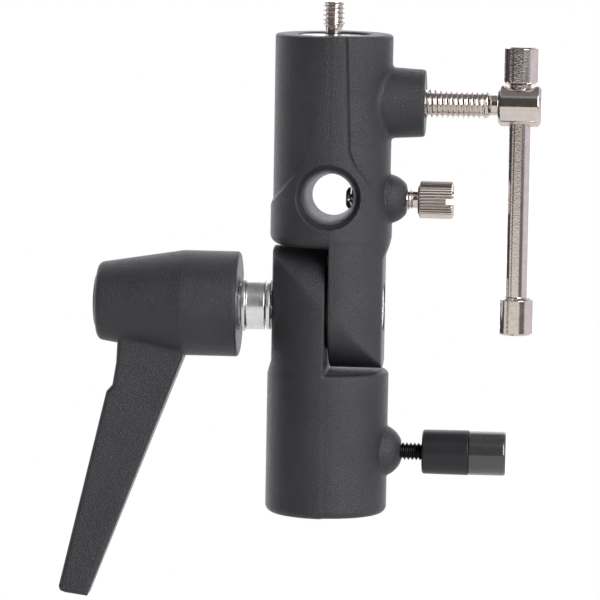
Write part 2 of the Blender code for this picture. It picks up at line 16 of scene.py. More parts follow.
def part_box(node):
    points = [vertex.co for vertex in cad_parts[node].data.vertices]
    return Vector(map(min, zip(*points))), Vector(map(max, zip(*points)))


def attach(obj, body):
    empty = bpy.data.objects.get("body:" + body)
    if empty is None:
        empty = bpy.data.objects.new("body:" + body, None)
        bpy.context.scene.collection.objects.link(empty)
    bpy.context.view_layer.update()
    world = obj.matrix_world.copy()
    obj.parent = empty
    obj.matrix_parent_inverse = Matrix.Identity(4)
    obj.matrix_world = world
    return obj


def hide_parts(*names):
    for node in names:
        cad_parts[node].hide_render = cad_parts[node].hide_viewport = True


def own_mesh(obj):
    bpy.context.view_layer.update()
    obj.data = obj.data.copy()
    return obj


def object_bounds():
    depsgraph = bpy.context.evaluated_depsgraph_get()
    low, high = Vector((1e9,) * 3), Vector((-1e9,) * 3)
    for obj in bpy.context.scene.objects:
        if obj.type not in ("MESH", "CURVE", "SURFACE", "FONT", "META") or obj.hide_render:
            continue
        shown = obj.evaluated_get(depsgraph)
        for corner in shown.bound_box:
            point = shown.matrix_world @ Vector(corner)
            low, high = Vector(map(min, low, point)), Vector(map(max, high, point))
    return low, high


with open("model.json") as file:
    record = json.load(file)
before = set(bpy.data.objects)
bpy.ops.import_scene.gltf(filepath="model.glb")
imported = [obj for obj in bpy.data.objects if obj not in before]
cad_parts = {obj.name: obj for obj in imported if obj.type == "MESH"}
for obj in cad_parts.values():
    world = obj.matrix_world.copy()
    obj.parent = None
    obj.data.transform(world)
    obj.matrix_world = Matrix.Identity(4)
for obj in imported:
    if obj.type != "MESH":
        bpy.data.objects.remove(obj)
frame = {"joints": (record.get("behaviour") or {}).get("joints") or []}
cad_low, cad_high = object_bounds()

MM = 0.001
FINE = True
NUDGE, SETTLING_STEPS = 0.02, 4  # for a field's slope, and for bringing a mesh onto its surface


def box_mm(node):
    """A node's lowest and highest corners, in millimetres."""
    low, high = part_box(node)
    return np.array(low) / MM, np.array(high) / MM


def middle_mm(node, axis):
    low, high = box_mm(node)
    return low[axis] / 2 + high[axis] / 2


# Places read from the frame
SWIVEL_Z = 1000 * next(j for j in frame["joints"] if j["name"] == "swivel")["pos_m"][2]
UPPER_LOW, UPPER_HIGH = box_mm("upper_body")
LOWER_LOW, LOWER_HIGH = box_mm("lower_body")
LEVER_LOW, LEVER_HIGH = box_mm("lever_handle")
T_SCREW_Z = middle_mm("t_screw", 2)
UMBRELLA_Z = middle_mm("umbrella_lock_screw", 2)
STAND_Z = middle_mm("stand_lock_cap", 2)
BODY_TOP = UPPER_HIGH[2]
T_BAR_INSET = 0.45  # how much nearer to the body the bar sits than its CAD solid
T_BAR_X = middle_mm("t_bar", 0) - T_BAR_INSET
SPIGOT_X = middle_mm("spigot", 0)

# The two castings: their outsides, and the split between their tongues
TONGUE_R = 16.48
SPLIT_LOW_X, SPLIT_HIGH_X = -0.3, 0.5
LOWER_R = 16.5
SKIRT_R, WAIST_R, TOP_R = 16.5, 15.88, 15.95
FLOOR_Z, CEILING_Z = 39.2, 73.4
UPPER_FLAT_X, LOWER_FLAT_X = 14.88, -15.42
FLAT_FLARE, FLAT_EASE = 0.4, 0.93  # how fast a flat runs out, and the scale that keeps it a distance
BIG_BOSS_R, BIG_BOSS_DRAFT, BIG_BOSS_START_X, BIG_BOSS_FACE_X = 9.75, 0.65, 4.0, 25.2
UMBRELLA_BALL, STAND_BALL = (15.0, 6.8, 20.7), (13.6, 7.4, 20.5)  # centre x, radius and face x

# Their insides
PIVOT_BORE_R, FRICTION_RECESS_R, BOLT_RECESS_R, BOLT_RECESS_X = 4.15, 11.3, 6.3, 9.3
SOCKET_R, SOCKET_TOP_Z = 8.1, 35.0
SPIGOT_BORE_R, SPIGOT_BORE_Z, SPIGOT_RIM_R, SPIGOT_RIM_Z = 8.2, 96.8, 9.7, 128.7
T_BORE_R, UMBRELLA_BORE_R, STAND_BORE_R = 4.15, 3.13, 2.6

# The lever's hub, and where and over what length it tapers
HUB_R, HUB_TAPER, HUB_TAPER_X, HUB_LENGTH = 14.4, 3.85, -40.1, 23.5
HUB_FACE_X, HUB_END_X = -24.6, -63.6

# The upper casting's relief: a skirt that rises to a gable, a rib above it, and a seam beside the rib
GABLE_Z, GABLE_SLOPE = 104.3, math.radians(50.2)
RIB_LOW_Z, RIB_LEFT_X, RIB_RIGHT_X, RIB_TAPER = 98.0, -6.25, 5.5, 0.04
SEAM_LOW_Z, SEAM_FADE, SEAM_DEPTH = 91.0, 6.0, 0.24

# The umbrella hole: how far it is raised and slanted, and its radius at depths from its near and far mouths
HOLE_RISE, HOLE_SLANT = 0.5, 0.045
HOLE_EASE = 0.85  # keeps the flared hole's field near a true distance
NEAR_DEPTHS, NEAR_RADII = (0.0, 3.2, 5.5, 8.5, 25.0), (8.75, 7.4, 6.8, 6.4, 5.65)
FAR_DEPTHS, FAR_RADII = (0.0, 3.0, 8.0), (8.65, 6.5, 5.65)

SKIN = 0.3  # how far a casting may stand proud of its own CAD solid, inside the whole object's box

# The screws' heads, the spigot's flange, and how much further in than their CAD solids the bar's caps reach
T_HEAD_HALF, T_HEAD_R = 5.95, 5.85
THUMB_X, THUMB_HALF, THUMB_R, KNURL_RIDGES = 28.65, 4.95, 5.08, 36
FLANGE_LOW, FLANGE_TOP = 129.0, 130.45
CAP_REACH = 1.0


# --- Solids as signed distances ---------------------------------------------------------------------------


def both(a, b, r=0.0):
    """The overlap of two solids, with its edge rounded by r."""
    if r == 0.0:
        return np.maximum(a, b)
    return np.minimum(-r, np.maximum(a, b)) + np.hypot(np.maximum(r + a, 0), np.maximum(r + b, 0))


def either(a, b, r=0.0):
    """Two solids as one, with a fillet of r where they meet."""
    return -both(-a, -b, r)


def without(a, b, r=0.0):
    return both(a, -b, r)


def smooth_step(value, width):
    t = np.clip(value / width + 0.5, 0.0, 1.0)
    return t * t * (3 - 2 * t)


def outline_distance(u, v, points):
    """Signed distance to a closed outline, negative inside."""
    square = np.full(np.broadcast(u, v).shape, np.inf)
    inside = np.zeros(square.shape, bool)
    for (u0, v0), (u1, v1) in zip(points, points[1:] + points[:1]):
        du, dv = u1 - u0, v1 - v0
        share = np.clip(((u - u0) * du + (v - v0) * dv) / (du * du + dv * dv), 0, 1)
        square = np.minimum(square, (u - u0 - share * du) ** 2 + (v - v0 - share * dv) ** 2)
        crosses = (v0 > v) != (v1 > v)
        inside ^= crosses & (u < u0 + du * (v - v0) / (dv if dv else 1e-9))
    return np.where(inside, -1.0, 1.0) * np.sqrt(square)


def grid_line(low, high, cell, dense=()):
    """Grid stations from low to high, with a finer cell inside each (start, end, cell) stretch."""
    stations, at = [], low
    while at < high + cell:
        stations.append(at)
        step = cell
        for start, end, fine in dense:
            if start <= at < end:
                step = fine
        at += step
    return np.array(stations)


def edge_ends(values, axis):
    """The values at the two ends of every grid edge along an axis."""
    head, tail = [slice(None)] * 3, [slice(None)] * 3
    head[axis], tail[axis] = slice(0, -1), slice(1, None)
    return values[tuple(head)], values[tuple(tail)]


def crossed_edges(solid, axis):
    start, end = edge_ends(solid, axis)
    return np.argwhere(start != end)


def edge_points(values, lines, axis, edges):
    """Where the surface crosses each of the given grid edges."""
    start, end = (side[tuple(edges.T)] for side in edge_ends(values, axis))
    points = np.stack([lines[k][edges[:, k]] for k in range(3)], 1)
    points[:, axis] += start / (start - end) * np.diff(lines[axis])[edges[:, axis]]
    return points


def cell_points(values, lines):
    """A point for each cell that the surface crosses, where its crossings average, and each cell's number."""
    cells = tuple(n - 1 for n in values.shape)
    total, count = np.zeros((*cells, 3)), np.zeros(cells)
    for axis in range(3):
        edges = crossed_edges(values < 0, axis)
        points = edge_points(values, lines, axis, edges)
        b, c = [k for k in range(3) if k != axis]
        for db, dc in ((0, 0), (0, 1), (1, 0), (1, 1)):
            cell = edges.copy()
            cell[:, b] -= db
            cell[:, c] -= dc
            fits = ((cell >= 0) & (cell < np.array(cells))).all(1)
            target = tuple(cell[fits].T)
            np.add.at(total, target, points[fits])
            np.add.at(count, target, 1)
    used = count > 0
    number = np.full(cells, -1)
    number[used] = np.arange(used.sum())
    return total[used] / count[used][:, None], number


def cell_quads(solid, number):
    """A quad round each grid edge that the surface crosses, wound to face out of the solid."""
    cells = number.shape
    quads = []
    for axis in range(3):
        b, c = (axis + 1) % 3, (axis + 2) % 3
        edges = crossed_edges(solid, axis)
        low_side = (edges[:, b] > 0) & (edges[:, c] > 0)
        high_side = (edges[:, b] < cells[b]) & (edges[:, c] < cells[c])
        edges = edges[low_side & high_side]
        corners = []
        for db, dc in ((1, 1), (0, 1), (0, 0), (1, 0)):
            cell = edges.copy()
            cell[:, b] -= db
            cell[:, c] -= dc
            corners.append(number[tuple(cell.T)])
        quad = np.stack(corners, 1)
        outward = solid[tuple(edges.T)]
        quads.append(np.where(outward[:, None], quad, quad[:, ::-1]))
    return np.concatenate(quads)


def slope(field, points):
    shifts = np.eye(3) * NUDGE
    return np.stack([(field(*(points + s).T) - field(*(points - s).T)) / (2 * NUDGE) for s in shifts], 1)


def settled(field, points, reach):
    """The points moved onto the surface, each step by at most reach, and the surface's normals there."""
    for _ in range(SETTLING_STEPS):
        gradient = slope(field, points)
        size = np.maximum((gradient**2).sum(1), 0.2)
        move = (field(*points.T) / size)[:, None] * gradient
        length = np.linalg.norm(move, axis=1, keepdims=True)
        points = points - move * np.minimum(1.0, reach / np.maximum(length, 1e-9))
    normals = slope(field, points)
    return points, normals / np.maximum(np.linalg.norm(normals, axis=1, keepdims=True), 1e-9)


def net_of(field, xs, ys, zs):
    """A surface net of a distance field on a rectilinear grid: its points, quads and normals."""
    lines = (xs, ys, zs)
    values = field(xs[:, None, None], ys[None, :, None], zs[None, None, :])
    values = np.broadcast_to(values, [len(line) for line in lines])
    points, number = cell_points(values, lines)
    reach = 0.5 * min(np.diff(line).min() for line in lines)
    points, normals = settled(field, points, reach)
    return points, cell_quads(values < 0, number), normals


# --- Meshes and pieces ------------------------------------------------------------------------------------


def piece(name, body, finish, points, faces, normals=None, stands_for=()):
    """A named mesh, from points in millimetres, that rides on a body and stands for CAD nodes."""
    mesh = bpy.data.meshes.new(name)
    corners = faces.tolist() if isinstance(faces, np.ndarray) else faces
    mesh.from_pydata((np.asarray(points) * MM).tolist(), [], corners)
    mesh.update()
    mesh.shade_smooth()
    if normals is not None:
        mesh.normals_split_custom_set_from_vertices(np.asarray(normals).tolist())
    mesh.materials.append(finish)
    obj = bpy.data.objects.new(name, mesh)
    bpy.context.scene.collection.objects.link(obj)
    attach(obj, body)
    if stands_for:
        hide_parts(*stands_for)
    return obj


def turn_to(axis, at, local):
    """Points (station, across, up) placed so that their station runs along the given world axis from at."""
    s, u, v = local.T
    if axis == "X":
        placed = np.stack([s, u, v], 1)
    else:
        placed = np.stack([u, v, s], 1)
    return placed + np.array(at)


def soften(profile, radius, count=3):
    """A profile whose corners are rounded, each by as much as its two sides leave room for."""
    points = [np.array(p, float) for p in profile]
    soft = [points[0]]
    for before, corner, after in zip(points, points[1:], points[2:]):
        back, on = before - corner, after - corner
        back_length, on_length = np.linalg.norm(back), np.linalg.norm(on)
        if back_length < 1e-6 or on_length < 1e-6:
            soft.append(corner)
            continue
        back, on = back / back_length, on / on_length
        turn = math.acos(np.clip(-back @ on, -1, 1))
        reach = min(radius * math.tan(turn / 2), 0.45 * back_length, 0.45 * on_length)
        if turn < math.radians(8) or corner[1] < 1e-6:
            soft.append(corner)
            continue
        for i in range(count + 1):
            t = i / count
            soft.append(corner + reach * ((1 - t) ** 2 * back + t**2 * on))
    soft.append(points[-1])
    return np.array(soft)


def lathe(profile, steps=96, axis="X", at=(0, 0, 0), shape=None, ring=False):
    """A turned solid's points, faces and normals. The profile lists (station, radius) from one end to the
    other, or round a ring, and shape(station, radius, angle) may change the radius."""
    profile = np.array(profile, float)
    rows = len(profile)
    angles = np.linspace(0, 2 * math.pi, steps, endpoint=False)
    station = np.repeat(profile[:, 0][:, None], steps, 1)
    radius = np.repeat(profile[:, 1][:, None], steps, 1)
    if shape is not None:
        radius = shape(station, radius, angles[None, :])
    around = np.stack([station, radius * np.cos(angles), radius * np.sin(angles)], 2)
    points = around.reshape(-1, 3)
    faces = []
    last = rows if ring else rows - 1
    for i in range(last):
        a, b = i * steps, (i + 1) % rows * steps
        for j in range(steps):
            k = (j + 1) % steps
            faces.append((a + j, a + k, b + k, b + j))
    if not ring:
        faces.append(tuple(range(steps))[::-1])
        faces.append(tuple(range((rows - 1) * steps, rows * steps)))
    normals = row_normals(around, ring)
    return turn_to(axis, at, points), faces, turn_to(axis, (0, 0, 0), normals.reshape(-1, 3))


def row_normals(around, ring=False):
    """Normals of a grid of points that closes along its second index, long faces weighing most."""
    forward = np.roll(around, -1, 0) - around
    backward = around - np.roll(around, 1, 0)
    if not ring:
        forward[-1] = 0
        backward[0] = 0
    sideways = np.roll(around, -1, 1) - np.roll(around, 1, 1)
    normals = np.zeros_like(around)
    for along in (forward, backward):
        face = np.cross(sideways, along)
        size = np.linalg.norm(face, axis=2, keepdims=True)
        length = np.linalg.norm(along, axis=2, keepdims=True)
        normals += np.where(size > 1e-12, face / np.maximum(size, 1e-12), 0) * length
    return normals / np.maximum(np.linalg.norm(normals, axis=2, keepdims=True), 1e-12)


def facing_out(points, faces, normals):
    """The same grid with its faces turned so that they agree with an outward volume."""
    total = 0.0
    for face in faces[:: max(1, len(faces) // 400)]:
        a, b, c = points[face[0]], points[face[1]], points[face[2]]
        total += float(np.dot(a - points.mean(0), np.cross(b - a, c - a)))
    if total < 0:
        faces = [tuple(reversed(face)) for face in faces]
        normals = -normals
    return points, faces, normals


def turned(
    name, body, finish, profile, stands_for=(),
    steps=96, axis="X", at=(0, 0, 0), shape=None, ring=False, soft=0.12,
):
    """A turned piece, from a profile whose corners are rounded by soft."""
    rounded = soften(profile, soft) if not ring else ring_soften(profile, soft)
    points, faces, normals = facing_out(*lathe(rounded, steps, axis, at, shape, ring))
    return piece(name, body, finish, points, faces, normals, stands_for)


def ring_soften(profile, radius):
    """The same for a profile that closes on itself."""
    closed = [profile[-1], *profile, profile[0]]
    return soften(closed, radius)[1:-1]


def thread_shape(pitch, depth, start, end, right_handed=True):
    """A 60 degree thread with small flats, run out at both ends of its stretch."""
    hand = 1 if right_handed else -1

    def shape(station, radius, angle):
        phase = (station / pitch - hand * angle / (2 * math.pi)) % 1.0
        ramp = np.abs(phase - 0.5) * 2  # 0 at the crest and 1 at the root
        groove = np.clip((ramp - 0.12) / 0.7, 0, 1) * depth
        runout = 0.8 * pitch
        fade = np.clip((station - start) / runout, 0, 1) * np.clip((end - station) / runout, 0, 1)
        threaded = (station >= start) & (station <= end)
        return radius - np.where(threaded, groove * fade, 0)

    return shape


def thread_rows(start, end, radius, pitch, chamfer, per_pitch=12):
    """Profile rows close enough together to hold a thread."""
    count = max(2, int(round((end - start) / pitch * per_pitch)))
    stations = np.linspace(start, end, count + 1)
    low = np.minimum(stations - start, end - stations)
    radii = radius - np.maximum(0, chamfer - low)
    return list(zip(stations, radii))


# --- Finishes ---------------------------------------------------------------------------------------------


class Finish:
    """A Principled material whose detail comes from object-space noise, so it sits still on the object."""

    def __init__(self, name, color, roughness, metallic=0.0, **sockets):
        self.material = bpy.data.materials.new(name)
        self.material.use_nodes = True
        self.tree = self.material.node_tree
        self.shader = self.tree.nodes["Principled BSDF"]
        self.shader.inputs["Metallic"].default_value = metallic
        for socket, value in sockets.items():
            self.shader.inputs[socket.replace("_", " ")].default_value = value
        self.color, self.roughness = color, roughness
        self.place = self.tree.nodes.new("ShaderNodeTexCoord").outputs["Object"]
        self.heights = []
        self.shader.inputs["Base Color"].default_value = (*color, 1)
        self.shader.inputs["Roughness"].default_value = roughness

    def link(self, source, target):
        self.tree.links.new(source, target)

    def stretched(self, scale):
        """Object coordinates in millimetres, scaled along each axis."""
        node = self.tree.nodes.new("ShaderNodeMapping")
        node.inputs["Scale"].default_value = [s / MM for s in scale]
        self.link(self.place, node.inputs["Vector"])
        return node.outputs["Vector"]

    def noise(self, scale, detail=2.0, rough=0.5):
        """Noise with about one feature every 1/scale mm along each axis."""
        node = self.tree.nodes.new("ShaderNodeTexNoise")
        node.inputs["Scale"].default_value = 1.0
        node.inputs["Detail"].default_value = detail
        node.inputs["Roughness"].default_value = rough
        self.link(self.stretched(scale), node.inputs["Vector"])
        return node.outputs["Fac"]

    def spread(self, value, low, high, start=0.3, end=0.7):
        node = self.tree.nodes.new("ShaderNodeMapRange")
        node.inputs["From Min"].default_value = start
        node.inputs["From Max"].default_value = end
        node.inputs["To Min"].default_value = low
        node.inputs["To Max"].default_value = high
        self.link(value, node.inputs["Value"])
        return node.outputs["Result"]

    def vary_color(self, value, low, high):
        node = self.tree.nodes.new("ShaderNodeMix")
        node.data_type = "RGBA"
        node.inputs["A"].default_value = (*[c * low for c in self.color], 1)
        node.inputs["B"].default_value = (*[min(1.0, c * high) for c in self.color], 1)
        self.link(self.spread(value, 0, 1), node.inputs["Factor"])
        self.link(node.outputs["Result"], self.shader.inputs["Base Color"])

    def vary_roughness(self, value, low, high):
        self.link(self.spread(value, low, high), self.shader.inputs["Roughness"])

    def bump(self, value, height_mm, strength=1.0):
        node = self.tree.nodes.new("ShaderNodeBump")
        node.inputs["Strength"].default_value = strength
        node.inputs["Distance"].default_value = height_mm * MM
        self.link(value, node.inputs["Height"])
        if self.heights:
            self.link(self.heights[-1], node.inputs["Normal"])
        self.heights.append(node.outputs["Normal"])
        self.link(node.outputs["Normal"], self.shader.inputs["Normal"])


def even(scale):
    return (scale, scale, scale)


def powder_coat(name, color, roughness, grain):
    """Fine-textured powder coat: a pebbled grain under a slight orange peel, and a faint cloudiness."""
    made = Finish(name, color, roughness, IOR=1.46)
    grains = made.noise(even(grain), 2.5, 0.55)
    peel = made.noise(even(grain * 0.4), 2.0)
    cloud = made.noise(even(0.09), 3.0)
    made.vary_color(cloud, 0.86, 1.16)
    made.vary_roughness(peel, roughness - 0.05, roughness + 0.06)
    made.bump(peel, 0.07, 0.8)
    made.bump(grains, 0.27, 1.0)
    return made.material


def plated(name, color, roughness, axis="X", marks=0.5, pits=0.0):
    """Bright plating over turned metal: lathe marks round the axis, faint pits and an uneven polish."""
    made = Finish(name, color, roughness, 1.0)
    along = {"X": (9.0, 0.35, 0.35), "Z": (0.35, 0.35, 9.0)}[axis]
    lathe_marks = made.noise(along, 3.0, 0.6)
    smudge = made.noise(even(0.45), 3.0)
    made.vary_color(smudge, 0.92, 1.05)
    made.vary_roughness(smudge, roughness - 0.02, roughness + 0.04)
    made.bump(lathe_marks, 0.012 * marks, 0.6)
    made.bump(made.noise(even(2.2), 2.0), 0.03, pits)
    return made.material


def moulded(name, color, roughness, **sockets):
    """Moulded plastic with a faint spark-eroded texture."""
    made = Finish(name, color, roughness, **sockets)
    made.vary_color(made.noise(even(0.25), 2.0), 0.9, 1.12)
    made.vary_roughness(made.noise(even(1.4), 2.0), roughness - 0.04, roughness + 0.05)
    made.bump(made.noise(even(5.0), 2.0), 0.012, 0.45)
    return made.material


def fibre(name):
    """Friction fibre: short pale strands in a dark binder."""
    made = Finish(name, (0.10, 0.085, 0.07), 0.88)
    strands = made.noise((0.8, 7.0, 0.8), 3.0, 0.7)
    made.vary_color(strands, 0.45, 1.8)
    made.bump(strands, 0.05, 0.5)
    return made.material


COAT = powder_coat("body_powder_coat", (0.027, 0.027, 0.0325), 0.37, 2.9)
LEVER_COAT = powder_coat("lever_powder_coat", (0.027, 0.027, 0.0325), 0.37, 3.0)
NICKEL_X = plated("warm_nickel_x", (0.80, 0.74, 0.70), 0.09, "X", 0.6, 0.35)
NICKEL_Z = plated("warm_nickel_z", (0.80, 0.745, 0.715), 0.05, "Z", 0.2, 0.5)
STEEL_X = plated("bright_steel_x", (0.90, 0.91, 0.93), 0.27, "X", 2.2)
BLACK_STEEL = plated("black_oxide_steel", (0.045, 0.045, 0.05), 0.34, "X", 0.6)
BRASS = plated("turned_brass", (0.72, 0.50, 0.22), 0.28, "X", 0.8)
PLASTIC = moulded("black_plastic", (0.016, 0.016, 0.019), 0.34, IOR=1.42)
CAP_GLOSS = {"Coat_Weight": 1.0, "Coat_IOR": 1.6, "Coat_Roughness": 0.06}
VINYL = moulded("charcoal_cap", (0.028, 0.028, 0.030), 0.30, **CAP_GLOSS)
FIBRE = fibre("friction_fibre")


# --- Cast bodies ------------------------------------------------------------------------------------------


def swivel_radius(y, z):
    return np.hypot(y, z - SWIVEL_Z)


def along_x(y, z, at_z):
    return np.hypot(y, z - at_z)


def body_radius(x, y, z):
    """The upper barrel's radius. A thicker skirt rises to a gable, and a rib carries it on to the top."""
    above = np.clip(z - RIB_LOW_Z, 0, BODY_TOP - RIB_LOW_Z)
    plain = WAIST_R + (TOP_R - WAIST_R) * above / (BODY_TOP - RIB_LOW_Z)
    gable = (GABLE_Z - z) * math.cos(GABLE_SLOPE) - np.abs(x) * math.sin(GABLE_SLOPE)
    right_edge = RIB_RIGHT_X - RIB_TAPER * above
    rib = np.minimum(right_edge - x, x - RIB_LEFT_X)
    inside = -either(-gable, -rib, 2.4)
    right_width = 0.55 + 0.5 * np.clip(93.0 - z, 0, 12)
    step_width = np.where(x < 0, 0.75 + 0.6 * above, right_width)
    raised = smooth_step(inside, step_width)
    along = np.clip((z - SEAM_LOW_Z) / SEAM_FADE, 0, 1)
    seam_line = np.exp(-(((-inside - 0.3) / 0.17) ** 2)) * along
    seam = np.where((y < 0) & (x > 0), SEAM_DEPTH, 0.0) * seam_line
    return plain + (SKIRT_R - plain) * raised - seam


def with_ball(body, x, y, z, at_z, ball, fillet):
    """The body with a ball-shaped boss that ends in a flat face."""
    centre_x, radius, face_x = ball
    sphere = np.sqrt((x - centre_x) ** 2 + y**2 + (z - at_z) ** 2) - radius
    return either(body, both(sphere, x - face_x, 0.4), fillet)


def umbrella_hole(x, y, z):
    """The slanted hole through the upper casting, flared at both mouths."""
    wall = np.sqrt(np.maximum(SKIRT_R**2 - x**2, 1.0))
    near = np.interp(wall + y, NEAR_DEPTHS, NEAR_RADII)
    far = np.interp(wall - y, FAR_DEPTHS, FAR_RADII)
    hole_z = UMBRELLA_Z + HOLE_RISE - HOLE_SLANT * y
    return (np.hypot(x, z - hole_z) - np.maximum(near, far)) * HOLE_EASE


def upper_solid(x, y, z):
    """The upper casting before it is bored: barrel, right tongue, flat and bosses."""
    barrel = np.hypot(x, y) - body_radius(x, y, z)
    shell = both(barrel, z - BODY_TOP, 0.9)
    above = both(shell, CEILING_Z - z, 2.8)
    tongue_end = np.hypot(y, np.minimum(z - SWIVEL_Z, 0)) - TONGUE_R
    tongue = both(both(shell, SPLIT_HIGH_X - x, 0.45), tongue_end, 0.5)
    body = either(above, tongue, 0.6)
    runout = FLAT_FLARE * np.clip(z - SWIVEL_Z - 13.9, 0, 20)
    body = both(body, (x - UPPER_FLAT_X - runout) * FLAT_EASE, 0.5)
    boss_r = BIG_BOSS_R - BIG_BOSS_DRAFT * np.clip((x - 14.5) / 11.0, 0, 1)
    middle_x, half = (BIG_BOSS_FACE_X + BIG_BOSS_START_X) / 2, (BIG_BOSS_FACE_X - BIG_BOSS_START_X) / 2
    boss = both(along_x(y, z, T_SCREW_Z) - boss_r, np.abs(x - middle_x) - half, 0.7)
    body = either(body, boss, 1.1)
    return with_ball(body, x, y, z, UMBRELLA_Z, UMBRELLA_BALL, 0.3)


def upper_field(x, y, z):
    """The upper casting, less its bores and recesses."""
    from_axis, from_swivel = np.hypot(x, y), swivel_radius(y, z)
    body = upper_solid(x, y, z)
    body = without(body, both(from_axis - SPIGOT_BORE_R, SPIGOT_BORE_Z - z, 0.6), 0.3)
    body = without(body, both(from_axis - SPIGOT_RIM_R, SPIGOT_RIM_Z - z), 0.35)
    body = without(body, both(along_x(y, z, T_SCREW_Z) - T_BORE_R, 4.0 - x), 0.45)
    body = without(body, umbrella_hole(x, y, z), 0.35)
    body = without(body, both(along_x(y, z, UMBRELLA_Z) - UMBRELLA_BORE_R, 3.0 - x), 0.3)
    body = without(body, both(from_swivel - PIVOT_BORE_R, z - 70), 0.3)
    body = without(body, both(from_swivel - BOLT_RECESS_R, BOLT_RECESS_X - x, 0.3), 0.35)
    return without(body, both(from_swivel - FRICTION_RECESS_R, x - 1.5, 0.3), 0.3)


def lower_field(x, y, z):
    """The lower casting: barrel, left tongue, flat and ball boss, less its socket and bores."""
    from_swivel = swivel_radius(y, z)
    shell = both(np.hypot(x, y) - LOWER_R, -z - 0.15, 1.9)
    below = both(shell, z - FLOOR_Z, 1.3)
    tongue_end = np.hypot(y, np.maximum(z - SWIVEL_Z, 0)) - TONGUE_R
    tongue = both(both(shell, x - SPLIT_LOW_X, 0.45), tongue_end, 0.5)
    body = either(below, tongue, 0.6)
    runout = FLAT_FLARE * np.clip(41.6 - z, 0, 20)
    body = both(body, (LOWER_FLAT_X - x - runout) * FLAT_EASE, 0.5)
    body = with_ball(body, x, y, z, STAND_Z, STAND_BALL, 0.4)
    body = without(body, both(np.hypot(x, y) - SOCKET_R, z - SOCKET_TOP_Z, 0.6), 0.5)
    body = without(body, both(along_x(y, z, STAND_Z) - STAND_BORE_R, 4.0 - x), 0.3)
    body = without(body, from_swivel - PIVOT_BORE_R, 0.3)
    return without(body, both(from_swivel - FRICTION_RECESS_R, -1.3 - x, 0.3), 0.3)


# The arm's outline (x, z), from the hub down its right edge to the tip and back up past the thumb step
ARM = [
    (-39.5, 41.8),
    (-65.2, -25.3),
    (-67.5, -25.0),
    (-71.3, -24.5),
    (-72.7, -24.0),
    (-73.2, -22.9),
    (-60.4, 32.0),
    (-58.8, 33.7),
    (-57.8, 39.9),
    (-57.4, 48.0),
    (-39.5, 48.0),
]


def lever_field(x, y, z):
    """The lever: a tapered hub with a flat arm, hollow from the body's side up to the spline."""
    reach = swivel_radius(y, z)
    cone_r = HUB_R - HUB_TAPER * np.clip((HUB_TAPER_X - x) / HUB_LENGTH, 0, 1.1)
    hub = both((reach - cone_r) * 0.99, x - HUB_FACE_X, 0.8)
    hub = both(hub, HUB_END_X - x, 1.6)
    half = 7.2 - 2.7 * (48.0 - z) / 73.3
    arm = both(outline_distance(x, z, ARM) + 0 * y, np.abs(y) - half, 1.3)
    body = either(hub, arm, 0.6)
    hollow = both(reach - 5.95, -30.2 - x)
    body = without(body, hollow, 0.4)
    body = without(body, both(reach - 5.6, -36.0 - x))
    body = without(body, reach - 2.75)
    body = without(body, both(reach - 5.2, x + 38.5), 0.2)
    return without(body, both(reach - 8.2, x + 59.0), 0.35)


def cast(name, body, finish, field, low, high, cell, node, dense_x=()):
    """A casting meshed from its distance field, which stands for one CAD node."""
    margin = 2 * cell
    lines = [grid_line(low[k] - margin, high[k] + margin, cell, dense_x if k == 0 else ()) for k in range(3)]
    points, quads, normals = net_of(field, *lines)
    outer_low, outer_high = np.array(cad_low) / MM, np.array(cad_high) / MM
    points = np.clip(points, np.maximum(low - SKIN, outer_low), np.minimum(high + SKIN, outer_high))
    return piece(name, body, finish, points, quads, normals, [node])


def make_castings():
    cell = 0.45 if FINE else 0.7
    dense = [(RIB_RIGHT_X - 1.9, RIB_RIGHT_X + 1.3, 0.18)] if FINE else []
    cast(
        "upper_casting", "upper", COAT, upper_field, UPPER_LOW, UPPER_HIGH, cell, "upper_body",
        dense_x=dense,
    )
    cast("lower_casting", "lower", COAT, lower_field, LOWER_LOW, LOWER_HIGH, cell, "lower_body")
    cast(
        "lever_casting", "lever", LEVER_COAT, lever_field, LEVER_LOW, LEVER_HIGH, cell, "lever_handle",
    )


# --- Swivel hardware --------------------------------------------------------------------------------------


def splined(tip_r, root_r, teeth, start, end):
    """A spline: flat-topped teeth between two stations, on whatever radius lies inside them."""

    def shape(station, radius, angle):
        wave = np.clip(0.5 + 0.9 * np.cos(teeth * angle), 0, 1)
        inside = (station >= min(start, end)) & (station <= max(start, end))
        toothed = inside & (radius > root_r - 0.2)
        return np.where(toothed, root_r + (tip_r - root_r) * wave, radius + 0 * angle)

    return shape


def make_swivel_hardware():
    at = (0, 0, SWIVEL_Z)
    collar = [
        (-17.35, 4.2),
        (-17.35, 6.85),
        (-22.3, 6.85),
        (-22.75, 7.4),
        (-23.8, 7.4),
        (-23.8, 5.75),
        (-25.0, 5.75),
        (-25.01, 5.76),
        (-30.0, 5.76),
        (-30.0, 5.0),
        (-35.5, 5.0),
        (-35.5, 2.7),
        (-31.5, 2.7),
        (-31.5, 4.2),
    ]
    turned(
        "clamp_collar", "clamp_nut", STEEL_X, collar, ["clamp_nut"],
        steps=192, at=at, shape=splined(6.3, 5.76, 24, -25.005, -30.0), ring=True, soft=0.25,
    )
    washer = [(-15.9, 4.15), (-15.9, 6.8), (-17.0, 6.8), (-17.0, 4.15)]
    turned(
        "thrust_ring", "lower", STEEL_X, washer, ["thrust_washer"],
        at=at, ring=True, soft=0.2,
    )
    flat_washer = [(9.6, 4.15), (9.6, 6.0), (10.6, 6.0), (10.6, 4.15)]
    turned(
        "bolt_ring", "upper", STEEL_X, flat_washer, ["bolt_washer"],
        at=at, ring=True, soft=0.2,
    )
    disc = [(-1.0, 4.35), (-1.0, 11.0), (1.2, 11.0), (1.2, 4.35)]
    turned(
        "friction_ring", "lower", FIBRE, disc, ["friction_disc"],
        at=at, ring=True, soft=0.15,
    )


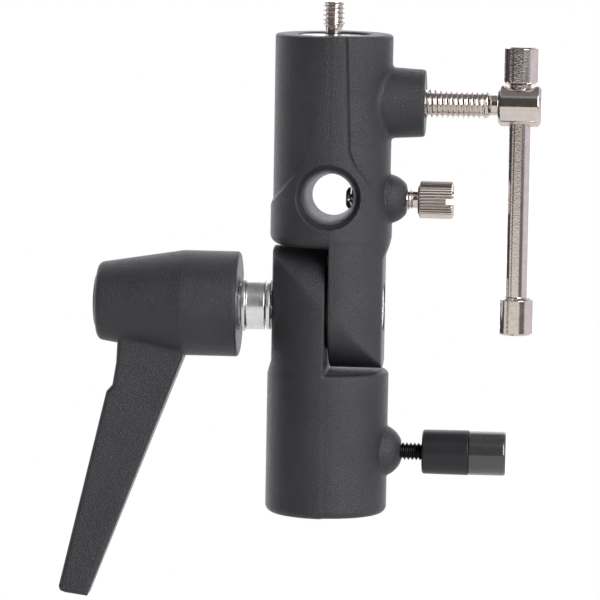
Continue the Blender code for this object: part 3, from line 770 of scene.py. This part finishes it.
def hex_socket(half_flats, angle):
    """The radius, at an angle, of a hexagon that is half_flats from its middle to each side."""
    return half_flats / np.cos((angle + math.pi / 6) % (math.pi / 3) - math.pi / 6)


def make_pivot_bolt():
    at = (0, 0, SWIVEL_Z)
    pitch = 1.25
    start = -31.2
    rows = thread_rows(start, -14.0, 3.9, pitch, 0.5)
    head = [(10.9, 3.9), (10.9, 6.0), (14.55, 6.0), (14.55, 2.9), (11.8, 2.9), (11.8, 0.0)]
    profile = [(start, 0.0), *rows, *head]
    inner = thread_shape(pitch, 0.7, start, -14.0)

    def shape(station, radius, angle):
        socket = (radius <= 2.95) & (radius > 0.1) & (station > 11.0)
        return np.where(socket, hex_socket(2.5, angle), inner(station, radius, angle))

    turned(
        "pivot_screw", "upper", STEEL_X, profile, ["pivot_bolt"],
        at=at, shape=shape, soft=0.3,
    )


def make_lever_fittings():
    at = (0, 0, SWIVEL_Z)
    start, end = -50.6, -31.8
    rows = thread_rows(start, end, 2.45, 0.8, 0.4)
    profile = [(-52.0, 0.0), (-52.0, 2.0), (-54.0, 2.0), (-54.0, 4.3), (start, 4.3), *rows, (end, 0.0)]
    inner = thread_shape(0.8, 0.45, -38.0, end)

    def shape(station, radius, angle):
        socket = (radius <= 2.05) & (radius > 0.1) & (station < -51.5)
        return np.where(socket, hex_socket(1.75, angle), inner(station, radius, angle))

    turned(
        "retaining_screw", "clamp_nut", STEEL_X, profile, ["lever_retaining_screw"],
        steps=48, at=at, shape=shape, soft=0.2,
    )
    cap = [(-59.3, 0.0), (-59.3, 7.9), (-63.6, 7.9), (-64.25, 6.9), (-64.6, 4.6), (-64.7, 0.0)]
    turned("hub_end_cap", "lever", PLASTIC, cap, ["lever_end_cap"], at=at, soft=0.5)
    make_lever_spring(-38.85, -50.25)


def make_lever_spring(right_x, left_x):
    """A coil spring between two stations, in one fixed shape."""
    wire_r, coil_r, turns, around, per_turn = 0.45, 3.6, 6, 12, 40
    count = turns * per_turn
    t = np.arange(count + 1) / count
    angle = 2 * math.pi * turns * t
    middle = np.stack(
        [right_x + (left_x - right_x) * t, coil_r * np.cos(angle), SWIVEL_Z + coil_r * np.sin(angle)], 1
    )
    tangent = np.gradient(middle, axis=0)
    tangent /= np.linalg.norm(tangent, axis=1, keepdims=True)
    out = np.stack([0 * t, np.cos(angle), np.sin(angle)], 1)
    side = np.cross(tangent, out)
    ring = np.linspace(0, 2 * math.pi, around, endpoint=False)
    normals = out[:, None] * np.cos(ring)[None, :, None] + side[:, None] * np.sin(ring)[None, :, None]
    points = (middle[:, None] + wire_r * normals).reshape(-1, 3)
    faces = []
    for i in range(count):
        for j in range(around):
            k = (j + 1) % around
            faces.append((i * around + j, i * around + k, (i + 1) * around + k, (i + 1) * around + j))
    faces.append(tuple(range(around))[::-1])
    faces.append(tuple(range(count * around, (count + 1) * around)))
    points, faces, normals = facing_out(points, faces, normals.reshape(-1, 3))
    coil = piece("lever_coil", "clamp_nut", STEEL_X, points, faces, normals, ["lever_spring"])
    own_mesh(coil)


# --- Spigot -----------------------------------------------------------------------------------------------


def make_spigot():
    """A reversible spigot: a stud at each end of a waisted barrel, with a flange that sits in the rim."""
    upper_pitch, lower_pitch = 1.27, 1.5875
    stud_low, stud_top, stud_r = 133.2, 139.5, 3.175
    end_low, end_top, end_r = 97.3, 104.5, 4.76
    waist = 3.6
    profile = [
        (end_low, 0.0),
        *thread_rows(end_low, end_top, end_r, lower_pitch, 0.6),
        (105.0, 3.9),
        (106.5, 3.9),
        (106.5, 7.94),
        (T_SCREW_Z - waist - 0.8, 7.94),
        (T_SCREW_Z - waist, 7.0),
        (T_SCREW_Z + waist, 7.0),
        (T_SCREW_Z + waist + 0.8, 7.94),
        (FLANGE_LOW, 7.94),
        (FLANGE_LOW, 9.45),
        (FLANGE_TOP, 9.45),
        (FLANGE_TOP, 2.4),
        (132.7, 2.4),
        *thread_rows(stud_low, stud_top, stud_r, upper_pitch, 0.5),
        (stud_top, 0.0),
    ]
    low_thread = thread_shape(lower_pitch, 0.95, end_low, end_top)
    top_thread = thread_shape(upper_pitch, 0.75, stud_low, stud_top)

    def shape(station, radius, angle):
        return np.where(station < 120, low_thread(station, radius, angle), top_thread(station, radius, angle))

    turned(
        "spigot_stud", "spigot", NICKEL_Z, profile, ["spigot"],
        axis="Z", at=(SPIGOT_X, 0, 0), shape=shape, soft=0.25,
    )


# --- T-handle screw ---------------------------------------------------------------------------------------


def t_head_field(x, y, z):
    """The screw's head: a chamfered barrel with a hole for the bar, dished at its upper mouth."""
    up = z - T_SCREW_Z
    reach = np.hypot(y, z - T_SCREW_Z)
    end = np.abs(x - T_BAR_X) - T_HEAD_HALF
    barrel = both(reach - T_HEAD_R, end)
    chamfer = (reach - T_HEAD_R + end + 0.8) * 0.7071
    barrel = both(barrel, chamfer, 0.15)
    neck = both(reach - 2.9, np.abs(x - 44.5) - 1.5)
    head = either(barrel, neck, 0.2)
    hole_r = 3.4 + np.clip(up - 4.0, 0, 5) * 1.05
    return without(head, (np.hypot(x - T_BAR_X, y) - hole_r) * 0.8, 0.18)


def screw_head(name, body, field, low_x, high_x, radius, at_z, cell):
    """A nickel head meshed from its distance field, held inside a box round the screw's axis."""
    low, high = np.array([low_x, -radius, at_z - radius]), np.array([high_x, radius, at_z + radius])
    lines = [grid_line(low[k] - 2 * cell, high[k] + 2 * cell, cell) for k in range(3)]
    points, quads, normals = net_of(field, *lines)
    piece(name, body, NICKEL_X, np.clip(points, low, high), quads, normals)


def make_t_screw():
    at = (0, 0, T_SCREW_Z)
    start, end, pitch = 9.3, 42.6, 1.411
    rows = thread_rows(start, end, 3.97, pitch, 0.8, 14)
    profile = [(12.9, 0.0), (12.9, 1.68), (start, 1.68), *rows, (43.0, 2.9), (43.6, 2.9), (43.6, 0.0)]
    turned(
        "t_screw_thread", "t_screw", NICKEL_X, profile, ["t_screw"],
        at=at, shape=thread_shape(pitch, 0.8, start, end - 0.3), soft=0.15, steps=72,
    )
    cell = 0.2 if FINE else 0.3
    screw_head("t_screw_head", "t_screw", t_head_field, 43.2, 56.9, T_HEAD_R, T_SCREW_Z, cell)
    pad = [(7.3, 0.0), (7.3, 3.0), (9.0, 3.0), (9.0, 1.5), (12.8, 1.5), (12.8, 0.0)]
    turned("t_screw_shoe", "t_foot", BRASS, pad, ["t_screw_pad"], at=at, steps=48)


def make_t_bar():
    at = (T_BAR_X, 0, 0)
    bar_low, bar_high = box_mm("t_bar")[0][2], box_mm("t_bar")[1][2]
    bar = [(bar_low, 0.0), (bar_low, 3.1), (bar_high, 3.1), (bar_high, 0.0)]
    turned("handle_bar", "t_bar", NICKEL_Z, bar, ["t_bar"], axis="Z", at=at, soft=0.3)
    caps = (("handle_cap_top", "t_bar_cap_top", 1), ("handle_cap_bottom", "t_bar_cap_bottom", -1))
    for name, node, way in caps:
        low, high = box_mm(node)[0][2], box_mm(node)[1][2]
        seat, tip = (low - CAP_REACH, high) if way > 0 else (high + CAP_REACH, low)
        cap = [
            (seat + way * 6.7, 0.0),
            (seat + way * 6.7, 3.25),
            (seat, 3.25),
            (seat, 4.1),
            (seat + way * 0.7, 4.88),
            (tip - way * 0.5, 4.88),
            (tip, 4.3),
            (tip, 0.0),
        ]
        turned(name, "t_bar", NICKEL_Z, cap, [node], axis="Z", at=at, soft=0.2)


# --- Umbrella lock screw ----------------------------------------------------------------------------------


def make_umbrella_lock():
    at = (0, 0, UMBRELLA_Z)
    start, end, pitch = 5.6, 22.3, 1.0
    profile = [
        (7.9, 0.0),
        (7.9, 1.28),
        (start, 1.28),
        *thread_rows(start, end, 2.95, pitch, 0.5),
        (22.8, 2.4),
        (23.9, 2.4),
        (23.9, 0.0),
    ]
    turned(
        "umbrella_screw_thread", "umbrella_screw", NICKEL_X, profile, ["umbrella_lock_screw"],
        at=at, shape=thread_shape(pitch, 0.58, start, end), soft=0.1, steps=72,
    )
    cell = 0.16 if FINE else 0.25
    screw_head("umbrella_screw_head", "umbrella_screw", knurled_head_field, 23.7, 33.6, 5.1, UMBRELLA_Z, cell)
    tip = [(4.1, 0.0), (4.1, 2.3), (4.6, 2.9), (5.3, 2.9), (5.3, 1.1), (7.8, 1.1), (7.8, 0.0)]
    turned(
        "umbrella_screw_tip", "umbrella_foot", NICKEL_X, tip, ["umbrella_lock_tip"],
        at=at, steps=48,
    )


def knurled_head_field(x, y, z):
    """Straight ridges round a barrel, chamfered at both ends and slotted across its outer face."""
    reach = np.hypot(y, z - UMBRELLA_Z)
    angle = np.arctan2(y, z - UMBRELLA_Z)
    ridge = np.abs(((KNURL_RIDGES * angle / (2 * math.pi)) % 1.0) - 0.5) * 2
    end = np.abs(x - THUMB_X) - THUMB_HALF
    barrel = both((reach - THUMB_R + 0.42 * (1 - ridge) ** 1.3) * 0.85, end, 0.05)
    chamfer = (reach - THUMB_R + end + 0.73) * 0.7071
    head = both(barrel, chamfer, 0.08)
    slot = both(np.abs(z - UMBRELLA_Z) - 0.8, 31.5 - x)
    return without(head, slot, 0.12)


# --- Stand lock knob --------------------------------------------------------------------------------------


def make_stand_lock():
    at = (0, 0, STAND_Z)
    start, end, pitch = 10.1, 37.0, 1.0583
    rows = thread_rows(start, end, 2.42, pitch, 0.4)
    profile = [(12.3, 0.0), (12.3, 1.18), (start, 1.18), *rows, (end, 0.0)]
    turned(
        "stand_screw_thread", "stand_screw", BLACK_STEEL, profile, ["stand_lock_screw"],
        at=at, shape=thread_shape(pitch, 0.6, start, end), soft=0.1, steps=72,
    )
    grip = [
        (37.5, 0.0),
        (37.5, 2.62),
        (26.2, 2.62),
        (26.2, 5.6),
        (26.6, 6.05),
        (38.75, 6.15),
        (38.95, 5.9),
        (38.95, 4.0),
        (45.5, 4.0),
        (45.5, 0.0),
    ]
    turned(
        "stand_knob_grip", "stand_screw", PLASTIC, grip, ["stand_lock_grip"],
        at=at, soft=0.45,
    )
    cap = [
        (45.8, 0.0),
        (45.8, 4.18),
        (39.0, 4.18),
        (39.0, 5.9),
        (39.15, 6.08),
        (49.15, 6.08),
        (49.15, 0.0),
    ]
    turned("stand_knob_cap", "stand_screw", VINYL, cap, ["stand_lock_cap"], at=at, soft=0.9)
    pad = [(8.6, 0.0), (8.6, 2.1), (9.8, 2.1), (9.8, 1.0), (12.2, 1.0), (12.2, 0.0)]
    turned("stand_screw_shoe", "stand_foot", BRASS, pad, ["stand_lock_pad"], at=at, steps=48)


# --- Camera, light and surroundings -----------------------------------------------------------------------

VIEW_AZIMUTH, VIEW_ELEVATION, VIEW_ROLL = math.radians(4.2), math.radians(6.4), math.radians(1.0)
VIEW_DISTANCE, FIELD_WIDTH, SENSOR = 1.3, 0.1640, 36.0
VIEW_TARGET = Vector((-0.0081, 0.0, 0.0578))


def make_camera():
    camera = bpy.data.cameras.new("view")
    camera.sensor_width = SENSOR
    camera.lens = SENSOR * VIEW_DISTANCE / FIELD_WIDTH
    camera.clip_start, camera.clip_end = 0.05, 30.0
    holder = bpy.data.objects.new("view", camera)
    back = Vector(
        (
            math.sin(VIEW_AZIMUTH) * math.cos(VIEW_ELEVATION),
            -math.cos(VIEW_AZIMUTH) * math.cos(VIEW_ELEVATION),
            math.sin(VIEW_ELEVATION),
        )
    )
    holder.location = VIEW_TARGET + VIEW_DISTANCE * back
    holder.rotation_mode = "QUATERNION"
    aim = (-back).to_track_quat("-Z", "Y")
    holder.rotation_quaternion = aim @ Matrix.Rotation(VIEW_ROLL, 3, "Z").to_quaternion()
    bpy.context.scene.collection.objects.link(holder)
    bpy.context.scene.camera = holder


class Sky:
    """The studio round the object: a radiance for each direction, built up from soft-edged patches."""

    def __init__(self, radiance):
        world = bpy.context.scene.world or bpy.data.worlds.new("studio")
        bpy.context.scene.world = world
        world.use_nodes = True
        self.tree = world.node_tree
        self.tree.nodes.clear()
        self.way = self.tree.nodes.new("ShaderNodeTexCoord").outputs["Generated"]
        self.flat_way = self.flattened()
        start = self.tree.nodes.new("ShaderNodeRGB")
        start.outputs[0].default_value = (*radiance, 1)
        self.color = start.outputs[0]

    def flattened(self):
        spread = self.tree.nodes.new("ShaderNodeVectorMath")
        spread.operation = "MULTIPLY"
        spread.inputs[1].default_value = (1, 1, 0)
        self.tree.links.new(self.way, spread.inputs[0])
        unit = self.tree.nodes.new("ShaderNodeVectorMath")
        unit.operation = "NORMALIZE"
        self.tree.links.new(spread.outputs[0], unit.inputs[0])
        return unit.outputs[0]

    def measure(self, source, azimuth, elevation):
        a, e = math.radians(azimuth), math.radians(elevation)
        dot = self.tree.nodes.new("ShaderNodeVectorMath")
        dot.operation = "DOT_PRODUCT"
        dot.inputs[1].default_value = (math.sin(a) * math.cos(e), -math.cos(a) * math.cos(e), math.sin(e))
        self.tree.links.new(source, dot.inputs[0])
        return dot.outputs["Value"]

    def ramp(self, value, start, end):
        node = self.tree.nodes.new("ShaderNodeMapRange")
        node.interpolation_type = "SMOOTHSTEP"
        node.inputs["From Min"].default_value = start
        node.inputs["From Max"].default_value = end
        self.tree.links.new(value, node.inputs["Value"])
        return node.outputs["Result"]

    def times(self, a, b):
        node = self.tree.nodes.new("ShaderNodeMath")
        node.operation = "MULTIPLY"
        self.tree.links.new(a, node.inputs[0])
        self.tree.links.new(b, node.inputs[1])
        return node.outputs[0]

    def lay(self, share, radiance):
        """Puts a radiance over what is there already, where share is 1."""
        node = self.tree.nodes.new("ShaderNodeMix")
        node.data_type = "RGBA"
        self.tree.links.new(share, node.inputs["Factor"])
        self.tree.links.new(self.color, node.inputs["A"])
        node.inputs["B"].default_value = (*radiance, 1)
        self.color = node.outputs["Result"]

    def height(self, low, low_soft, high=None, high_soft=None):
        """1 between two elevations, in degrees."""
        up = self.measure(self.way, 0, 90)
        start, end = math.radians(low - low_soft), math.radians(low + low_soft)
        share = self.ramp(up, math.sin(start), math.sin(end))
        if high is not None:
            share = self.times(share, self.below(high, high_soft))
        return share

    def below(self, elevation, soft):
        """1 under an elevation, in degrees."""
        up = self.measure(self.way, 0, 90)
        start, end = math.radians(elevation + soft), math.radians(elevation - soft)
        return self.ramp(up, math.sin(start), math.sin(end))

    def sector(self, azimuth, half, soft):
        """1 within half degrees of an azimuth, which is 0 at the front and grows to the right."""
        value = self.measure(self.flat_way, azimuth, 0)
        start, end = math.radians(half + soft), math.radians(max(half - soft, 0))
        return self.ramp(value, math.cos(start), math.cos(end))

    def finish(self, seen):
        """Lights the scene with what has been laid, and shows the camera a plain colour behind the object."""
        light = self.tree.nodes.new("ShaderNodeBackground")
        self.tree.links.new(self.color, light.inputs["Color"])
        behind = self.tree.nodes.new("ShaderNodeBackground")
        behind.inputs["Color"].default_value = (*seen, 1)
        pick = self.tree.nodes.new("ShaderNodeMixShader")
        path = self.tree.nodes.new("ShaderNodeLightPath")
        self.tree.links.new(path.outputs["Is Camera Ray"], pick.inputs[0])
        self.tree.links.new(light.outputs[0], pick.inputs[1])
        self.tree.links.new(behind.outputs[0], pick.inputs[2])
        out = self.tree.nodes.new("ShaderNodeOutputWorld")
        self.tree.links.new(pick.outputs[0], out.inputs["Surface"])


def make_sky():
    """A light tent with a dark front, where the camera stands, a pale table and a key light on the right."""
    sky = Sky((0.45, 0.44, 0.45))
    # The tent: its back and left, a dim right, a darker top and the floor's far edge
    sky.lay(sky.times(sky.sector(184, 78, 12), sky.height(-25, 8, 60, 10)), (1.5, 1.48, 1.56))
    sky.lay(sky.times(sky.sector(130, 22, 10), sky.height(-25, 8, 60, 10)), (0.65, 0.62, 0.66))
    sky.lay(sky.height(52, 8), (0.20, 0.19, 0.19))
    sky.lay(sky.below(-25, 8), (0.52, 0.50, 0.49))
    sky.lay(sky.times(sky.sector(94, 28, 6), sky.height(-40, 3, 10, 5)), (0.72, 0.67, 0.72))
    sky.lay(sky.times(sky.sector(-76, 10, 4), sky.height(-25, 3, -4.5, 0.8)), (0.60, 0.56, 0.53))
    # The dark front, with one bright strip where the tent opens on the left
    front = sky.height(-4.5, 0.8, 46, 7)
    sky.lay(sky.times(sky.sector(-53, 41, 4), front), (0.06, 0.058, 0.055))
    sky.lay(sky.times(sky.sector(-113, 14, 4), front), (0.13, 0.125, 0.125))
    sky.lay(sky.times(sky.sector(-92, 5, 3), front), (1.5, 1.46, 1.46))
    sky.lay(sky.times(sky.sector(4, 18, 4), front), (0.075, 0.07, 0.066))
    sky.lay(sky.times(sky.sector(36, 14, 4), sky.height(-4.5, 0.8, 12, 4)), (0.34, 0.32, 0.31))
    # The table, with dark lines at its edge
    table = sky.height(-25, 8, -4.5, 0.8)
    sky.lay(sky.times(sky.sector(-23, 48, 3), table), (0.80, 0.75, 0.70))
    sky.lay(sky.times(sky.sector(-49, 6, 4), sky.height(-7, 1, -4.2, 0.5)), (0.10, 0.09, 0.085))
    sky.lay(sky.times(sky.sector(45, 15, 4), sky.height(-12, 1.5, -4.2, 0.5)), (0.16, 0.145, 0.135))
    sky.lay(sky.times(sky.sector(-90, 7, 3), sky.height(-25, 3, -7, 1)), (0.16, 0.14, 0.13))
    # The key light
    sky.lay(sky.times(sky.sector(38, 14, 7), sky.height(1, 2, 52, 8)), (8.2, 8.2, 8.2))
    sky.finish((1.0, 1.0, 1.0))


def make_floor():
    """A wide pale floor, well below the object, which stands on nothing in this view."""
    count, radius, height = 96, 1.6, -0.62
    ring = [
        (radius * math.cos(2 * math.pi * i / count), radius * math.sin(2 * math.pi * i / count), height)
        for i in range(count)
    ]
    mesh = bpy.data.meshes.new("pale_floor")
    mesh.from_pydata(ring, [], [tuple(range(count))])
    paint = bpy.data.materials.new("pale_floor")
    paint.use_nodes = True
    shader = paint.node_tree.nodes["Principled BSDF"]
    shader.inputs["Base Color"].default_value = (0.5, 0.49, 0.48, 1)
    shader.inputs["Roughness"].default_value = 0.9
    shader.inputs["Emission Color"].default_value = (0.8, 0.79, 0.78, 1)
    strength = paint.node_tree.nodes.new("ShaderNodeMath")
    strength.operation = "MULTIPLY_ADD"
    strength.inputs[1].default_value, strength.inputs[2].default_value = 0.6, 0.4
    seen = paint.node_tree.nodes.new("ShaderNodeLightPath").outputs["Is Camera Ray"]
    paint.node_tree.links.new(seen, strength.inputs[0])
    paint.node_tree.links.new(strength.outputs[0], shader.inputs["Emission Strength"])
    mesh.materials.append(paint)
    floor = bpy.data.objects.new("pale_floor", mesh)
    bpy.context.scene.collection.objects.link(floor)


bpy.context.scene.view_settings.view_transform = "Standard"
make_camera()
make_sky()
make_floor()
make_castings()
make_swivel_hardware()
make_pivot_bolt()
make_lever_fittings()
make_spigot()
make_t_screw()
make_t_bar()
make_umbrella_lock()
make_stand_lock()
